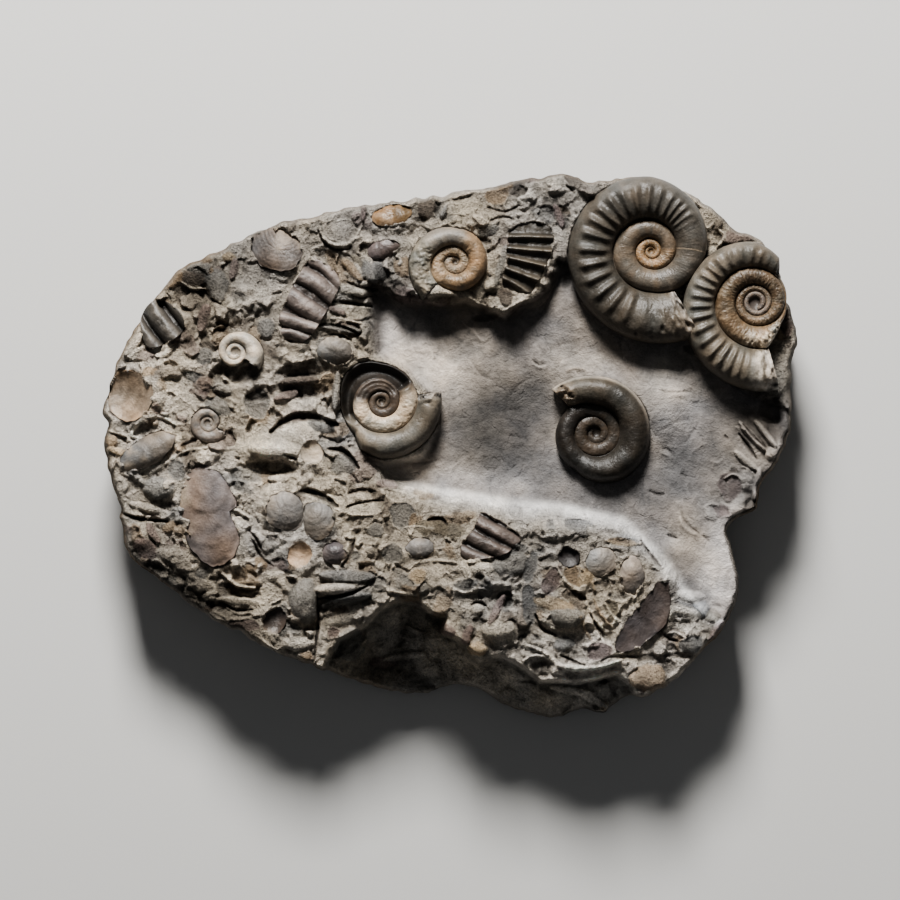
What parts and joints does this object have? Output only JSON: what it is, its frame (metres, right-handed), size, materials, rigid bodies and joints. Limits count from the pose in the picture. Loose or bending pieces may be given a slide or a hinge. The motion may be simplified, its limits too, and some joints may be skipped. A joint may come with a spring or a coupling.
{
  "type": "ammonite cluster plate",
  "caption": "Slab of shelly limestone with coiled ribbed and smooth ammonites and bivalve shells standing out of its upper face, for display lying flat.",
  "frame": {"origin": "middle of the slab's bounding box, on its flat underside", "axes": "+X to the right of the fossil face, +Y to its top edge, +Z out of the fossil face"},
  "size_m": [0.222, 0.1742, 0.0413],
  "materials": {
    "matrix": "rough broken limestone, beige grey",
    "dark_ammonite": "worn dark olive-grey calcite with a soft shine",
    "brown_ammonite": "worn brown calcite with a soft shine",
    "tan_ammonite": "tan calcite, partly chalky",
    "tan_shell": "tan shell with fine growth lines",
    "orange_shell": "glossy orange-tan shell",
    "grey_shell": "smooth grey shell filling",
    "mauve_shell": "mauve-grey shell with a soft shine",
    "banded_shell": "shell banded in mauve and tan",
    "dark_shell": "dark shell with light stripes"
  },
  "bodies": {
    "root": {"matrix": "matrix", "ammonite_large": "dark_ammonite", "ammonite_right": "brown_ammonite", "ammonite_smooth": "dark_ammonite", "ammonite_broken": "brown_ammonite", "ammonite_tan": "tan_ammonite", "ammonite_cream_small": "tan_ammonite", "coiled_shell_left": "tan_ammonite", "shell_round_tan": "tan_shell", "shell_oval_grey": "grey_shell", "shell_tall_mauve": "mauve_shell", "shell_pair_left": "grey_shell", "shell_pair_right": "grey_shell", "shell_cream_dish": "tan_shell", "shell_purple_dome": "mauve_shell", "shell_grey_dome": "grey_shell", "shell_cream_round": "tan_shell", "shell_glossy_orange": "orange_shell", "shell_mauve_flat": "mauve_shell", "shell_banded": "banded_shell", "shell_smooth_grey": "grey_shell", "shell_tall_grey": "grey_shell", "shell_long_trough": "mauve_shell", "shell_hollow_left": "dark_shell", "shell_hollow_right": "dark_shell", "shell_dark_grey_dome": "grey_shell", "whorl_piece_dark": "dark_ammonite", "whorl_piece_mauve": "mauve_shell", "whorl_piece_left": "dark_ammonite", "whorl_piece_lower": "mauve_shell"}
  },
  "joints": []
}
